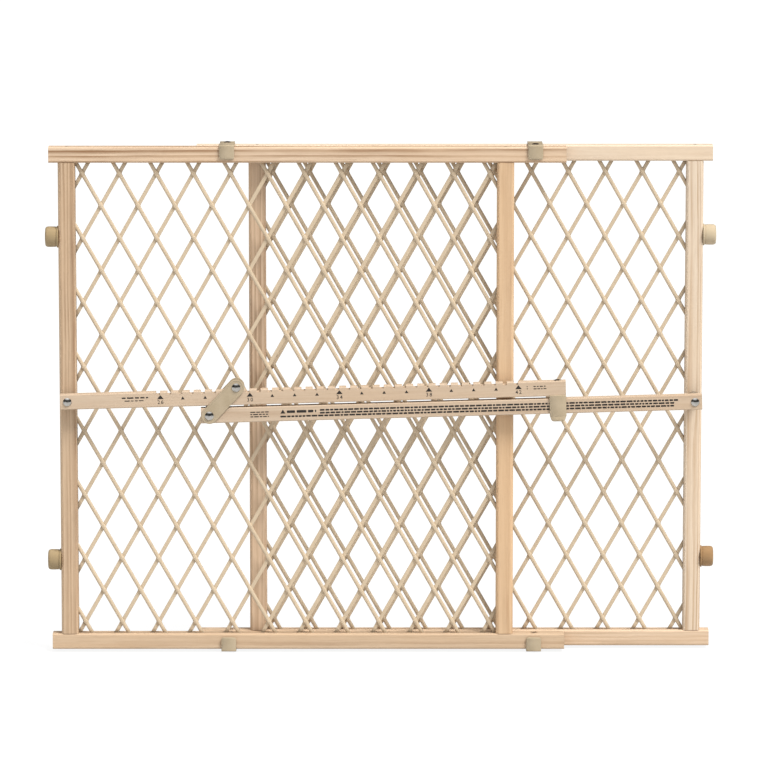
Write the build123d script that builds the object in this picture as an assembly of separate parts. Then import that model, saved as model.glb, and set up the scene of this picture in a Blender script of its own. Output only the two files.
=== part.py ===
from build123d import *
import math
import os

# Pressure-mounted baby gate: two wood-framed lattice panels that slide past each other,
# and a toggle latch of two wooden bars across the front that pushes them apart.
# Millimetres. +X runs along the gate, +Y from the bars towards the back, +Z up.
# The origin is under the middle of the gate, at its lowest point.

# Overall
GATE_WIDTH = 762.0  # between the bumper faces, at this setting
PANEL_HEIGHT = 578.0  # over the two rails
PANEL_GAP = 2.0  # between the two panels

# Wooden frame of one panel
RAIL_LENGTH = 586.0
RAIL_HEIGHT = 18.0
RAIL_DEPTH = 19.0
RAIL_ROUND = 2.2
STILE_WIDTH = 19.5
STILE_ROUND = 3.5
RAIL_OVERHANG = 10.4  # rail end beyond the outer stile
RAIL_EXTENSION = 59.0  # rail end beyond the inner stile
GROOVE_DEPTH = 5.5
GROOVE_CLEARANCE = 0.4  # groove wider than the lattice by this
NAIL_LENGTH = 42.0
NAIL_RADIUS = 0.9
NAIL_HEAD_RADIUS = 1.9
NAIL_HEAD_HEIGHT = 0.8

# Plastic lattice
DIAMOND_WIDTH = 42.0
DIAMOND_HEIGHT = 73.8
STRAND_WIDTH = 4.5
STRAND_EASE = 0.8  # width and height of the bevel on a strand's outer edges
LATTICE_THICKNESS = 4.4
LAYER_WELD = 0.2  # each layer of strands passes the middle by this

# Rubber bumpers and their screws
BUMPER_SPACING = 372.0
BUMPER_LENGTH = 15.0
BUMPER_RADIUS = 11.8
BUMPER_RIM_RADIUS = 12.4
BUMPER_RIM_HEIGHT = 2.2
BUMPER_ROUND = 3.0
RECESS_RADIUS = 5.5
RECESS_DEPTH = 5.0
SCREW_HEAD_RADIUS = 4.4
SCREW_HEAD_HEIGHT = 2.4
SCREW_RADIUS = 2.0
SCREW_GRIP = 13.0  # length of screw in the stile
DRIVE_WIDTH = 0.9
DRIVE_DEPTH = 1.0

# Guide clips that hold the two panels together, and their rivets
CLIP_WIDTH = 17.0
CLIP_WALL = 2.0
CLIP_HEIGHT = 16.5
CLIP_INSET = 35.0  # clip centre from the rail's end
CLIP_ROUND = 1.2
CLIP_SIDE_CLEARANCE = 0.5
CLIP_TOP_CLEARANCE = 0.4
CLIP_RIVET_RADIUS = 2.0
CLIP_RIVET_HEAD_RADIUS = 4.4
CLIP_RIVET_HEAD_HEIGHT = 1.4
CLIP_SINK_RADIUS = 4.8
CLIP_SINK_DEPTH = 1.8

# Latch bars
BAR_HEIGHT = 17.5
BAR_THICKNESS = 12.0
BAR_ROUND = 1.4
BAR_GAP = 2.6  # between the two bars
BAR_STANDOFF = 5.0  # from the front panel to the bars
BAR_TAIL = 8.0  # bar end beyond its pivot
NOTCHED_BAR_REACH = 566.0  # from its pivot to its free end
LOCKING_BAR_REACH = 561.0
NOTCH_PITCH = 12.7
NOTCH_COUNT = 33
NOTCH_WIDTH = 4.6
NOTCH_DEPTH = 3.0
FIRST_NOTCH = 103.2  # first notch from the pivot

# Bar pivots
PIVOT_RADIUS = 2.5
PIVOT_HEAD_RADIUS = 4.9
PIVOT_HEAD_HEIGHT = 2.4
PIVOT_TAIL_RADIUS = 4.0
PIVOT_TAIL_HEIGHT = 1.5
WASHER_RADIUS = 6.5
WASHER_THICKNESS = 1.0
SPACER_RADIUS = 7.0
RUNNING_CLEARANCE = 0.05
FACE_CLEARANCE = 0.3

# Lever that joins the bars
LEVER_PIVOT_INSET = 9.5  # lever pivot from the locking bar's free end
LEVER_SPAN = 44.5  # from the lever's pivot to its pin
LEVER_HALF_WIDTH = 9.2
LEVER_WALL = 1.5
LEVER_CLEARANCE = 0.5  # between a plate and the bars
LEVER_PIN_RADIUS = 1.8
LEVER_PIN_HOVER = 0.9  # pin above the teeth
LEVER_HEAD_RADIUS = 5.0
LEVER_HEAD_HEIGHT = 2.2
LEVER_TAIL_RADIUS = 4.4
LEVER_TAIL_HEIGHT = 1.2

# Catch that holds the bars together
CATCH_WIDTH = 19.0
CATCH_WALL = 1.2
CATCH_CLEARANCE = 0.8  # beside the bars
CATCH_SKIRT = 3.0  # straight flange below the locking bar
CATCH_LIP_HEIGHT = 5.0
CATCH_LIP_FLARE = 2.0
CATCH_LIP_TAPER = 2.0  # the lip is narrower than the flange by this at each side
CATCH_SCREW_RADIUS = 1.75
CATCH_SCREW_HEAD_RADIUS = 4.0
CATCH_SCREW_HEAD_HEIGHT = 1.2

# Worked out: heights
BASE_Z = CLIP_TOP_CLEARANCE + CLIP_WALL + CLIP_RIVET_HEAD_HEIGHT
MID_Z = BASE_Z + PANEL_HEIGHT / 2
OPENING_HEIGHT = PANEL_HEIGHT - 2 * RAIL_HEIGHT
GROOVE_WIDTH = LATTICE_THICKNESS + GROOVE_CLEARANCE

# Worked out: along the gate, for the front panel, whose outer stile is at -X
OUTER_FACE_X = -GATE_WIDTH / 2 + BUMPER_LENGTH
PIVOT_X = OUTER_FACE_X + STILE_WIDTH / 2
RAIL_START_X = OUTER_FACE_X - RAIL_OVERHANG
RAIL_END_X = RAIL_START_X + RAIL_LENGTH
INNER_FACE_X = RAIL_END_X - RAIL_EXTENSION
OPENING_START_X = OUTER_FACE_X + STILE_WIDTH
OPENING_END_X = INNER_FACE_X - STILE_WIDTH
OPENING_WIDTH = OPENING_END_X - OPENING_START_X
OPENING_X = (OPENING_START_X + OPENING_END_X) / 2
CLIP_X = RAIL_END_X - CLIP_INSET

# Worked out: depths, measured from the plane between the two panels
PANEL_Y = -(PANEL_GAP + RAIL_DEPTH) / 2
FRAME_FACE = PANEL_GAP / 2 + RAIL_DEPTH
BAR_BACK = FRAME_FACE + BAR_STANDOFF
BAR_FRONT = BAR_BACK + BAR_THICKNESS
BAR_Y = -(BAR_BACK + BAR_FRONT) / 2
LEVER_FRONT = BAR_FRONT + LEVER_CLEARANCE + LEVER_WALL
CATCH_FRONT = BAR_FRONT + CATCH_CLEARANCE + CATCH_WALL + CATCH_LIP_FLARE
CLIP_BACK = FRAME_FACE + CLIP_SIDE_CLEARANCE + CLIP_WALL
PIVOT_BACK = FRAME_FACE + WASHER_THICKNESS + PIVOT_TAIL_HEIGHT
BUMPER_BACK = -PANEL_Y + BUMPER_RIM_RADIUS
FRONT_REACH = max(LEVER_FRONT + LEVER_HEAD_HEIGHT, CATCH_FRONT)
BACK_REACH = max(CLIP_BACK, PIVOT_BACK, BUMPER_BACK)
MID_Y = (FRONT_REACH - BACK_REACH) / 2

# Worked out: the latch
PIVOT_SPAN = -2 * PIVOT_X
BAR_PITCH = BAR_HEIGHT + BAR_GAP
TILT = math.degrees(math.asin(BAR_PITCH / PIVOT_SPAN))
LEVER_PIVOT_REACH = LOCKING_BAR_REACH - LEVER_PIVOT_INSET
LEVER_PIN_V = BAR_HEIGHT / 2 + LEVER_PIN_HOVER + LEVER_PIN_RADIUS
LEVER_RISE = LEVER_PIN_V + BAR_PITCH
LEVER_ANGLE = math.degrees(math.asin(LEVER_RISE / LEVER_SPAN))


def box(x, y, z):
    """A box from its three (low, high) ranges."""
    size = (x[1] - x[0], y[1] - y[0], z[1] - z[0])
    middle = ((x[0] + x[1]) / 2, (y[0] + y[1]) / 2, (z[0] + z[1]) / 2)
    return Pos(*middle) * Box(*size)


def rod(radius, start, end):
    """A round rod along an axis-parallel line between two points."""
    line = Vector(*end) - Vector(*start)
    plane = Plane(origin=start, z_dir=line)
    return plane * Pos(0, 0, line.length / 2) * Cylinder(radius, line.length)


def dome(radius, height, base, way):
    """A domed head that stands on base and points along way."""
    ball = (radius**2 + height**2) / (2 * height)
    slab = Pos(0, 0, height / 2) * Cylinder(radius, height)
    cap = slab & (Pos(0, 0, height - ball) * Sphere(ball))
    return Plane(origin=base, z_dir=way) * cap


def solid(shape):
    """The one solid of a shape."""
    return shape.solids()[0]


def front_place(shape):
    """Moves a piece from the plane between the panels to the gate's own frame."""
    return Pos(0, MID_Y, 0) * shape


def rear_place(shape):
    """The same piece on the rear panel, which is the front one turned half round."""
    return Pos(0, MID_Y, 0) * Rot(0, 0, 180) * shape


def upside(shape):
    """The same piece at the other end of the panel's height."""
    return mirror(shape, about=Plane.XY.offset(MID_Z))


def nails():
    """Four nails, through the rails into the ends of the stiles."""
    made = []
    for x in (PIVOT_X, INNER_FACE_X - STILE_WIDTH / 2):
        top = MID_Z + PANEL_HEIGHT / 2
        head = rod(NAIL_HEAD_RADIUS, (x, PANEL_Y, top - NAIL_HEAD_HEIGHT), (x, PANEL_Y, top))
        shank = rod(NAIL_RADIUS, (x, PANEL_Y, top - NAIL_LENGTH), (x, PANEL_Y, top))
        nail = solid(head + shank)
        made += [nail, solid(upside(nail))]
    return made


def clip_rivet():
    """Rivet of the upper clip: a head on the clip, and a tail sunk in the rail's inner face."""
    web_top = MID_Z + PANEL_HEIGHT / 2 + CLIP_TOP_CLEARANCE + CLIP_WALL
    inner = MID_Z + PANEL_HEIGHT / 2 - RAIL_HEIGHT
    sink = inner + CLIP_SINK_DEPTH
    head = dome(CLIP_RIVET_HEAD_RADIUS, CLIP_RIVET_HEAD_HEIGHT, (CLIP_X, PANEL_Y, web_top), (0, 0, 1))
    shank = rod(CLIP_RIVET_RADIUS, (CLIP_X, PANEL_Y, sink), (CLIP_X, PANEL_Y, web_top))
    tail = dome(CLIP_RIVET_HEAD_RADIUS, CLIP_RIVET_HEAD_HEIGHT, (CLIP_X, PANEL_Y, sink), (0, 0, -1))
    return solid(head + shank + tail)


def top_rail():
    """Rounded rail with a groove for the lattice between the stiles."""
    top = MID_Z + PANEL_HEIGHT / 2
    inner = top - RAIL_HEIGHT
    ys = (PANEL_Y - RAIL_DEPTH / 2, PANEL_Y + RAIL_DEPTH / 2)
    body = box((RAIL_START_X, RAIL_END_X), ys, (inner, top))
    body = fillet(body.edges().filter_by(Axis.X), RAIL_ROUND)
    grooves = (PANEL_Y - GROOVE_WIDTH / 2, PANEL_Y + GROOVE_WIDTH / 2)
    body -= box((OUTER_FACE_X, INNER_FACE_X), grooves, (inner, inner + GROOVE_DEPTH))
    body -= rod(CLIP_SINK_RADIUS, (CLIP_X, PANEL_Y, inner), (CLIP_X, PANEL_Y, inner + CLIP_SINK_DEPTH))
    body -= rod(CLIP_RIVET_RADIUS, (CLIP_X, PANEL_Y, inner), (CLIP_X, PANEL_Y, top))
    for nail in nails():
        body -= nail
    return solid(body)


def stile(low_x, high_x, groove_face_x):
    """Upright with a tongue in each rail and a groove for the lattice in one side."""
    ys = (PANEL_Y - RAIL_DEPTH / 2, PANEL_Y + RAIL_DEPTH / 2)
    low_z, high_z = MID_Z - OPENING_HEIGHT / 2, MID_Z + OPENING_HEIGHT / 2
    body = box((low_x, high_x), ys, (low_z, high_z))
    body = fillet(body.edges().filter_by(Axis.Z), STILE_ROUND)
    grooves = (PANEL_Y - GROOVE_WIDTH / 2, PANEL_Y + GROOVE_WIDTH / 2)
    tongue_zs = (low_z - GROOVE_DEPTH, high_z + GROOVE_DEPTH)
    body += box((low_x, high_x), grooves, tongue_zs)
    groove_xs = (groove_face_x - GROOVE_DEPTH, groove_face_x + GROOVE_DEPTH)
    body -= box(groove_xs, grooves, tongue_zs)
    for nail in nails():
        body -= nail
    return body


def outer_stile():
    """Upright at the wall, bored for the bar pivot and the bumper screws."""
    body = stile(OUTER_FACE_X, OPENING_START_X, OPENING_START_X)
    for screw in bumper_screws():
        body -= screw
    return solid(body - rod(PIVOT_RADIUS, (PIVOT_X, -FRAME_FACE, MID_Z), (PIVOT_X, 0, MID_Z)))


def inner_stile():
    """Upright where the panels overlap."""
    return solid(stile(OPENING_END_X, INNER_FACE_X, OPENING_END_X))


def strand(length):
    """One lattice strand along X, its welded back on the lattice's middle plane."""
    half, top = STRAND_WIDTH / 2, LATTICE_THICKNESS / 2
    outline = [
        (-half, -LAYER_WELD),
        (half, -LAYER_WELD),
        (half, top - STRAND_EASE),
        (half - STRAND_EASE, top),
        (STRAND_EASE - half, top),
        (-half, top - STRAND_EASE),
    ]
    section = Plane.YZ * make_face(Polyline(*outline, close=True))
    return Pos(-length / 2, 0, 0) * extrude(section, length, dir=(1, 0, 0))


def lattice():
    """Two welded layers of crossing strands, their ends in the grooves of the frame."""
    half_w = OPENING_WIDTH / 2 + GROOVE_DEPTH
    half_h = OPENING_HEIGHT / 2 + GROOVE_DEPTH
    slope = math.degrees(math.atan2(DIAMOND_HEIGHT, DIAMOND_WIDTH))
    reach = half_w + half_h * DIAMOND_WIDTH / DIAMOND_HEIGHT
    count = int((reach + STRAND_WIDTH) // DIAMOND_WIDTH)
    length = 2 * (half_w + half_h)
    sheet = box((-half_w, half_w), (-LATTICE_THICKNESS, LATTICE_THICKNESS), (-half_h, half_h))
    layers = []
    for way in (1, -1):
        # lay the strand's welded back towards +Y in front, towards -Y behind
        base = Rot(0, way * slope, 0) * Rot(way * 90, 0, 0) * strand(length)
        rows = [Pos(i * DIAMOND_WIDTH, 0, 0) * base & sheet for i in range(-count, count + 1)]
        layers += [piece for row in rows for piece in row.solids()]
    made = layers[0].fuse(*layers[1:])
    return Pos(OPENING_X, PANEL_Y, MID_Z) * made


def bumper_heights():
    """The two heights of the bumpers."""
    return (MID_Z - BUMPER_SPACING / 2, MID_Z + BUMPER_SPACING / 2)


def bumper_screws():
    """A slotted screw in each bumper's recess, into the stile."""
    made = []
    for z in bumper_heights():
        seat = OUTER_FACE_X - BUMPER_LENGTH + RECESS_DEPTH
        head = dome(SCREW_HEAD_RADIUS, SCREW_HEAD_HEIGHT, (seat, PANEL_Y, z), (-1, 0, 0))
        shank = rod(SCREW_RADIUS, (seat, PANEL_Y, z), (OUTER_FACE_X + SCREW_GRIP, PANEL_Y, z))
        slot_xs = (seat - SCREW_HEAD_HEIGHT, seat - SCREW_HEAD_HEIGHT + DRIVE_DEPTH)
        slot_ys = (PANEL_Y - SCREW_HEAD_RADIUS, PANEL_Y + SCREW_HEAD_RADIUS)
        slot = box(slot_xs, slot_ys, (z - DRIVE_WIDTH / 2, z + DRIVE_WIDTH / 2))
        made.append(solid(head + shank - slot))
    return made


def bumper(z):
    """Round rubber bumper with a rim against the stile and a recess for its screw."""
    tip = BUMPER_LENGTH
    body = Pos(0, 0, tip / 2) * Cylinder(BUMPER_RADIUS, tip)
    body = fillet(body.edges().sort_by(Axis.Z)[-1], BUMPER_ROUND)
    body += Pos(0, 0, BUMPER_RIM_HEIGHT / 2) * Cylinder(BUMPER_RIM_RADIUS, BUMPER_RIM_HEIGHT)
    body -= Pos(0, 0, tip - RECESS_DEPTH / 2) * Cylinder(RECESS_RADIUS, RECESS_DEPTH)
    body -= Pos(0, 0, tip / 2) * Cylinder(SCREW_RADIUS, tip)
    return solid(Plane(origin=(OUTER_FACE_X, PANEL_Y, z), z_dir=(-1, 0, 0)) * body)


def upper_clip():
    """Bracket over both top rails, seated on its own panel's rail and clear of the other."""
    rail_top = MID_Z + PANEL_HEIGHT / 2
    web = rail_top + CLIP_TOP_CLEARANCE
    xs = (CLIP_X - CLIP_WIDTH / 2, CLIP_X + CLIP_WIDTH / 2)
    inside = FRAME_FACE + CLIP_SIDE_CLEARANCE
    foot = web + CLIP_WALL - CLIP_HEIGHT
    body = box(xs, (-CLIP_BACK, CLIP_BACK), (foot, web + CLIP_WALL))
    outer_edges = body.edges().filter_by(Axis.X).group_by(Axis.Z)[-1]
    body = fillet(outer_edges, CLIP_ROUND)
    body = fillet(body.faces().sort_by(Axis.Z)[-1].edges().filter_by(Axis.Y), CLIP_WALL / 4)
    body -= box(xs, (-inside, inside), (foot, web))
    seat_ys = (PANEL_Y - RAIL_DEPTH / 2 + RAIL_ROUND, PANEL_Y + RAIL_DEPTH / 2 - RAIL_ROUND)
    body += box(xs, seat_ys, (rail_top, web))
    body -= rod(CLIP_RIVET_RADIUS, (CLIP_X, PANEL_Y, rail_top), (CLIP_X, PANEL_Y, web + CLIP_WALL))
    return solid(body)


def turned_pin(radius, head, tail, front, back, x=0.0, z=0.0):
    """A rivet along Y: head and tail are (radius, height), front and back are where it grips."""
    body = dome(*head, (x, -front, z), (0, -1, 0))
    body += rod(radius, (x, -front, z), (x, back, z))
    body += dome(*tail, (x, back, z), (0, 1, 0))
    return solid(body)


def ring(outer, bore, front, back, x, z):
    """A washer or spacer along Y between two depths."""
    return solid(rod(outer, (x, front, z), (x, back, z)) - rod(bore, (x, front, z), (x, back, z)))


def pivot(x, stile_front, stile_back):
    """Rivet, spacer and washer that carry a bar in front of a stile between two depths."""
    head = (PIVOT_HEAD_RADIUS, PIVOT_HEAD_HEIGHT)
    tail = (PIVOT_TAIL_RADIUS, PIVOT_TAIL_HEIGHT)
    washer_back = stile_back + WASHER_THICKNESS
    return {
        "rivet": turned_pin(PIVOT_RADIUS, head, tail, BAR_FRONT + FACE_CLEARANCE, washer_back, x, MID_Z),
        "spacer": ring(SPACER_RADIUS, PIVOT_RADIUS, FACE_CLEARANCE - BAR_BACK, stile_front, x, MID_Z),
        "washer": ring(WASHER_RADIUS, PIVOT_RADIUS, stile_back, washer_back, x, MID_Z),
    }


def on_notched_bar(shape):
    """Places what is drawn in the notched bar's frame: pivot at the origin, bar along +X."""
    return Pos(PIVOT_X, BAR_Y, MID_Z) * Rot(0, -TILT, 0) * shape


def on_locking_bar(shape):
    """Places what is drawn in the locking bar's frame: pivot at the origin, bar along -X."""
    return Pos(-PIVOT_X, BAR_Y, MID_Z) * Rot(0, -TILT, 0) * shape


def bar(low_x, high_x):
    """Plain bar with eased edges, bored for its pivot at the origin."""
    half_y, half_z = BAR_THICKNESS / 2, BAR_HEIGHT / 2
    body = box((low_x, high_x), (-half_y, half_y), (-half_z, half_z))
    body = fillet(body.edges().filter_by(Axis.X), BAR_ROUND)
    return body - rod(PIVOT_RADIUS + RUNNING_CLEARANCE, (0, -half_y, 0), (0, half_y, 0))


def catch_xs():
    """The catch's two ends along the notched bar."""
    return (NOTCHED_BAR_REACH - CATCH_WIDTH, NOTCHED_BAR_REACH)


def catch_screw():
    """Screw down through the notched bar into the catch."""
    x = NOTCHED_BAR_REACH - CATCH_WIDTH / 2
    top = BAR_HEIGHT / 2
    head = dome(CATCH_SCREW_HEAD_RADIUS, CATCH_SCREW_HEAD_HEIGHT, (x, 0, top), (0, 0, 1))
    shank = rod(CATCH_SCREW_RADIUS, (x, 0, -top), (x, 0, top))
    slot_ys = (-CATCH_SCREW_HEAD_RADIUS, CATCH_SCREW_HEAD_RADIUS)
    slot_zs = (top + CATCH_SCREW_HEAD_HEIGHT / 2, top + CATCH_SCREW_HEAD_HEIGHT)
    slot = box((x - DRIVE_WIDTH / 2, x + DRIVE_WIDTH / 2), slot_ys, slot_zs)
    return solid(head + shank - slot)


def notched_bar():
    """Upper bar, with a rack of notches for the lever pin and a rebate for the catch."""
    body = bar(-BAR_TAIL, NOTCHED_BAR_REACH)
    half_y, top = BAR_THICKNESS / 2, BAR_HEIGHT / 2
    for i in range(NOTCH_COUNT):
        x = FIRST_NOTCH + i * NOTCH_PITCH
        notch_xs = (x - NOTCH_WIDTH / 2, x + NOTCH_WIDTH / 2)
        body -= box(notch_xs, (-half_y, half_y), (top - NOTCH_DEPTH, top))
    body -= box(catch_xs(), (-half_y, half_y), (-top, CATCH_WALL - top))
    return solid(body - catch_screw())


def catch_clip():
    """Channel under the notched bar's end that drops over the locking bar, with a flared lip."""
    xs = catch_xs()
    top = CATCH_WALL - BAR_HEIGHT / 2
    inside = BAR_THICKNESS / 2 + CATCH_CLEARANCE
    outside = inside + CATCH_WALL
    skirt = -BAR_HEIGHT / 2 - BAR_PITCH - CATCH_SKIRT
    body = box(xs, (-outside, outside), (skirt, top))
    body = fillet(body.edges().filter_by(Axis.X).group_by(Axis.Z)[-1], CATCH_WALL / 2)
    body -= box(xs, (-inside, inside), (skirt, -BAR_HEIGHT / 2))
    foot = skirt - CATCH_LIP_HEIGHT
    profile = [
        (-inside, skirt),
        (-outside, skirt),
        (-outside - CATCH_LIP_FLARE, foot),
        (-inside - CATCH_LIP_FLARE, foot),
    ]
    lip_face = Plane.YZ * make_face(Polyline(*profile, close=True))
    lip_length = CATCH_WIDTH - 2 * CATCH_LIP_TAPER
    lip = Pos(xs[0] + CATCH_LIP_TAPER, 0, 0) * extrude(lip_face, lip_length, dir=(1, 0, 0))
    return solid(body + lip - catch_screw())


def locking_bar():
    """Lower bar, bored for the lever's pivot near its free end."""
    body = bar(-LOCKING_BAR_REACH, BAR_TAIL)
    half_y = BAR_THICKNESS / 2
    x = -LEVER_PIVOT_REACH
    return solid(body - rod(PIVOT_RADIUS + RUNNING_CLEARANCE, (x, -half_y, 0), (x, half_y, 0)))


def on_lever(shape):
    """Places what is drawn in the lever's frame: pivot at the origin, pin along +X."""
    return on_locking_bar(Pos(-LEVER_PIVOT_REACH, 0, 0) * Rot(0, -LEVER_ANGLE, 0) * shape)


def lever_plate(front, back):
    """Flat plate with round ends, between two depths in the lever's frame."""
    body = rod(LEVER_HALF_WIDTH, (0, front, 0), (0, back, 0))
    body += rod(LEVER_HALF_WIDTH, (LEVER_SPAN, front, 0), (LEVER_SPAN, back, 0))
    body += box((0, LEVER_SPAN), (front, back), (-LEVER_HALF_WIDTH, LEVER_HALF_WIDTH))
    body -= rod(PIVOT_RADIUS, (0, front, 0), (0, back, 0))
    body -= rod(LEVER_PIN_RADIUS, (LEVER_SPAN, front, 0), (LEVER_SPAN, back, 0))
    return solid(body)


def lever():
    """Two plates beside the bars, the rivet they turn on and the pin for the notches."""
    inside = BAR_THICKNESS / 2 + LEVER_CLEARANCE
    outside = inside + LEVER_WALL
    head = (LEVER_HEAD_RADIUS, LEVER_HEAD_HEIGHT)
    tail = (LEVER_TAIL_RADIUS, LEVER_TAIL_HEIGHT)
    return {
        "lever_front_plate": lever_plate(-outside, -inside),
        "lever_back_plate": lever_plate(inside, outside),
        "lever_pivot_rivet": turned_pin(PIVOT_RADIUS, head, tail, outside, outside),
        "lever_pin": turned_pin(LEVER_PIN_RADIUS, head, tail, outside, outside, LEVER_SPAN),
    }


def panel(name, place):
    """The nodes of one panel, placed by place."""
    low_bumper, high_bumper = bumper_heights()
    return {
        f"{name}_top_rail": place(top_rail()),
        f"{name}_bottom_rail": place(solid(upside(top_rail()))),
        f"{name}_outer_stile": place(outer_stile()),
        f"{name}_inner_stile": place(inner_stile()),
        f"{name}_lattice": place(lattice()),
        f"{name}_lower_bumper": place(bumper(low_bumper)),
        f"{name}_upper_bumper": place(bumper(high_bumper)),
        f"{name}_bumper_screws": [place(screw) for screw in bumper_screws()],
        f"{name}_upper_clip": place(upper_clip()),
        f"{name}_lower_clip": place(solid(upside(upper_clip()))),
        f"{name}_clip_rivets": [place(r) for r in (clip_rivet(), solid(upside(clip_rivet())))],
        f"{name}_frame_nails": [place(nail) for nail in nails()],
    }


def latch():
    """The nodes of the latch across the front."""
    made = {}
    for kind, shape in pivot(PIVOT_X, -FRAME_FACE, -PANEL_GAP / 2).items():
        made[f"left_pivot_{kind}"] = front_place(shape)
    for kind, shape in pivot(-PIVOT_X, PANEL_GAP / 2, FRAME_FACE).items():
        made[f"right_pivot_{kind}"] = front_place(shape)
    made["notched_bar"] = front_place(on_notched_bar(notched_bar()))
    made["catch_clip"] = front_place(on_notched_bar(catch_clip()))
    made["catch_screw"] = front_place(on_notched_bar(catch_screw()))
    made["locking_bar"] = front_place(on_locking_bar(locking_bar()))
    for name, shape in lever().items():
        made[name] = front_place(on_lever(shape))
    return made


def write(nodes):
    """One STEP file for each node."""
    os.makedirs("parts", exist_ok=True)
    for name, shape in nodes.items():
        shapes = shape if isinstance(shape, list) else [shape]
        solids = [one for item in shapes for one in item.solids()]
        export_step(solids[0] if len(solids) == 1 else Compound(solids), f"parts/{name}.step")


write({**panel("front", front_place), **panel("rear", rear_place), **latch()})
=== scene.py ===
import math  # noqa: E402
import random  # noqa: E402

import bmesh  # noqa: E402
import bpy  # noqa: E402
from mathutils import Matrix, Vector  # noqa: E402


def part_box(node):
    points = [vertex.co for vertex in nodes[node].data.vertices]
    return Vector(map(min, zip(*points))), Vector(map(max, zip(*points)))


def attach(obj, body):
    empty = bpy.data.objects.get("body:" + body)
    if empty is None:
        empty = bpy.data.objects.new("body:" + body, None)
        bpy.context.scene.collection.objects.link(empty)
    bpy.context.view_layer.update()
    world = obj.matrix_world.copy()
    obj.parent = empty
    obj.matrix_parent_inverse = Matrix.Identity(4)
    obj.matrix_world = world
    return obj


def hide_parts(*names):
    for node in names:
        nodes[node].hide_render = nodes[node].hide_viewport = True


# Looks of a pressure-mounted baby gate: pine frames, moulded lattices, a latch of two printed bars.
# Metres, in the frame of the CAD model: +X along the gate, +Y to the back, +Z up.

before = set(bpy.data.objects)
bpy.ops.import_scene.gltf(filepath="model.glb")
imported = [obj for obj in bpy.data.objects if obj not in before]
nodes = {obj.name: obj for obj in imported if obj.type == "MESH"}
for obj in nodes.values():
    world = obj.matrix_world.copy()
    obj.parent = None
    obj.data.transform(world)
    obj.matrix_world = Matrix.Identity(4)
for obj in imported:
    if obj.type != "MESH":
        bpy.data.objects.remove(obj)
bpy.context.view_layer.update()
MM = 0.001
random.seed(7)


def centre(node):
    """Middle of a CAD node's box."""
    low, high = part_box(node)
    return (low + high) / 2


# ---------------------------------------------------------------- places taken from the frame

PIVOT_A = centre("left_pivot_spacer")  # the notched bar turns here
PIVOT_C = centre("right_pivot_spacer")  # the locking bar turns here
BAR_Y = (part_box("locking_bar")[0].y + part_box("locking_bar")[1].y) / 2
BAR_PITCH = 20.1 * MM  # between the two bars' middle lines
BAR_HALF_HEIGHT = 8.75 * MM
BAR_HALF_THICKNESS = 6.0 * MM
TILT = math.asin(BAR_PITCH / (PIVOT_C.x - PIVOT_A.x))
MID_Z = PIVOT_A.z


def bar_frame(pivot):
    """Placement of a bar's own frame: the pivot at its origin, +X along the bar."""
    return Matrix.Translation((pivot.x, BAR_Y, pivot.z)) @ Matrix.Rotation(-TILT, 4, "Y")


NOTCHED_BAR_FRAME = bar_frame(PIVOT_A)
LOCKING_BAR_FRAME = bar_frame(PIVOT_C)


# ---------------------------------------------------------------- material nodes


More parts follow.
